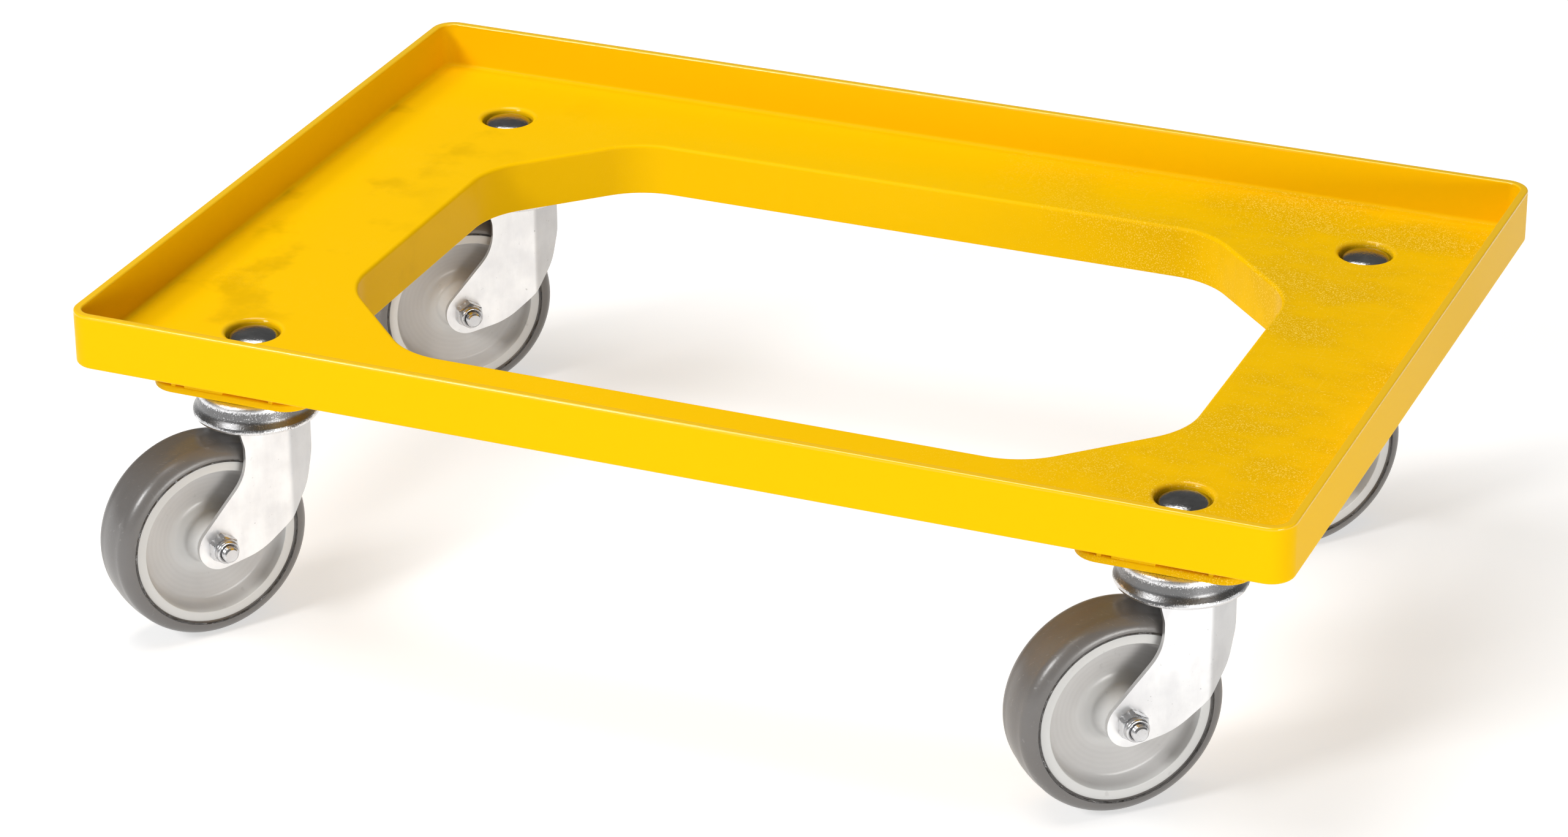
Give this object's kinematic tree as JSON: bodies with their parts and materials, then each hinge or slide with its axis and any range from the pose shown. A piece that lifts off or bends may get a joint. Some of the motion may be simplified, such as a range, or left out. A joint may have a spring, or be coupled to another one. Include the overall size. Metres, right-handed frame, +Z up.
{
  "type": "crate transport dolly",
  "caption": "Flat tray-shaped transport dolly with a raised rim and a large central opening, on swivel casters with grey wheels, for moving a stacking crate.",
  "frame": {"origin": "on the floor, under the centre of the deck", "axes": "+X along the deck's long side, +Y across it, +Z up; at rest every caster trails towards -X and -Y"},
  "size_m": [0.61, 0.4239, 0.175],
  "materials": {
    "yellow_plastic": "glossy injection-moulded plastic",
    "dark_chrome": "polished, dark",
    "bright_zinc": "bright zinc plate over pressed steel",
    "satin_zinc": "satin zinc plate with faint mottling",
    "zinc_plate": "zinc plate",
    "ball_steel": "polished",
    "core_plastic": "satin moulded plastic",
    "grey_rubber": "satin thermoplastic rubber",
    "bush_plastic": "self-lubricating bush"
  },
  "bodies": {
    "deck": {"deck": "yellow_plastic", "king_bolt_front_left": "dark_chrome", "king_bolt_front_right": "dark_chrome", "king_bolt_back_left": "dark_chrome", "king_bolt_back_right": "dark_chrome", "king_washer_front_left": "zinc_plate", "king_washer_front_right": "zinc_plate", "king_washer_back_left": "zinc_plate", "king_washer_back_right": "zinc_plate", "top_cup_front_left": "bright_zinc", "top_cup_front_right": "bright_zinc", "top_cup_back_left": "bright_zinc", "top_cup_back_right": "bright_zinc", "lower_cup_front_left": "zinc_plate", "lower_cup_front_right": "zinc_plate", "lower_cup_back_left": "zinc_plate", "lower_cup_back_right": "zinc_plate", "king_nut_front_left": "zinc_plate", "king_nut_front_right": "zinc_plate", "king_nut_back_left": "zinc_plate", "king_nut_back_right": "zinc_plate"},
    "swivel_front_left": {"fork_front_left": "satin_zinc", "upper_balls_front_left": "ball_steel", "lower_balls_front_left": "ball_steel", "axle_bolt_front_left": "zinc_plate", "axle_nut_front_left": "zinc_plate", "axle_sleeve_front_left": "zinc_plate"},
    "wheel_front_left": {"wheel_core_front_left": "core_plastic", "tyre_front_left": "grey_rubber", "hub_bushes_front_left": "bush_plastic"},
    "swivel_front_right": {"fork_front_right": "satin_zinc", "upper_balls_front_right": "ball_steel", "lower_balls_front_right": "ball_steel", "axle_bolt_front_right": "zinc_plate", "axle_nut_front_right": "zinc_plate", "axle_sleeve_front_right": "zinc_plate"},
    "wheel_front_right": {"wheel_core_front_right": "core_plastic", "tyre_front_right": "grey_rubber", "hub_bushes_front_right": "bush_plastic"},
    "swivel_back_left": {"fork_back_left": "satin_zinc", "upper_balls_back_left": "ball_steel", "lower_balls_back_left": "ball_steel", "axle_bolt_back_left": "zinc_plate", "axle_nut_back_left": "zinc_plate", "axle_sleeve_back_left": "zinc_plate"},
    "wheel_back_left": {"wheel_core_back_left": "core_plastic", "tyre_back_left": "grey_rubber", "hub_bushes_back_left": "bush_plastic"},
    "swivel_back_right": {"fork_back_right": "satin_zinc", "upper_balls_back_right": "ball_steel", "lower_balls_back_right": "ball_steel", "axle_bolt_back_right": "zinc_plate", "axle_nut_back_right": "zinc_plate", "axle_sleeve_back_right": "zinc_plate"},
    "wheel_back_right": {"wheel_core_back_right": "core_plastic", "tyre_back_right": "grey_rubber", "hub_bushes_back_right": "bush_plastic"}
  },
  "joints": [
    {"name": "swivel_front_left", "type": "hinge", "parent": "deck", "child": "swivel_front_left", "pos_m": [-0.237, -0.1445, 0.11], "axis": [0, 0, 1], "continuous": true},
    {"name": "wheel_front_left", "type": "hinge", "parent": "swivel_front_left", "child": "wheel_front_left", "pos_m": [-0.2561, -0.17079, 0.051], "axis": [0.809, -0.5878, 0], "continuous": true},
    {"name": "swivel_front_right", "type": "hinge", "parent": "deck", "child": "swivel_front_right", "pos_m": [0.237, -0.1445, 0.11], "axis": [0, 0, 1], "continuous": true},
    {"name": "wheel_front_right", "type": "hinge", "parent": "swivel_front_right", "child": "wheel_front_right", "pos_m": [0.21323, -0.16666, 0.051], "axis": [0.682, -0.7314, 0], "continuous": true},
    {"name": "swivel_back_left", "type": "hinge", "parent": "deck", "child": "swivel_back_left", "pos_m": [-0.237, 0.1445, 0.11], "axis": [0, 0, 1], "continuous": true},
    {"name": "wheel_back_left", "type": "hinge", "parent": "swivel_back_left", "child": "wheel_back_left", "pos_m": [-0.26038, 0.12192, 0.051], "axis": [0.6947, -0.7193, 0], "continuous": true},
    {"name": "swivel_back_right", "type": "hinge", "parent": "deck", "child": "swivel_back_right", "pos_m": [0.237, 0.1445, 0.11], "axis": [0, 0, 1], "continuous": true},
    {"name": "wheel_back_right", "type": "hinge", "parent": "swivel_back_right", "child": "wheel_back_right", "pos_m": [0.21525, 0.12035, 0.051], "axis": [0.7431, -0.6691, 0], "continuous": true}
  ]
}
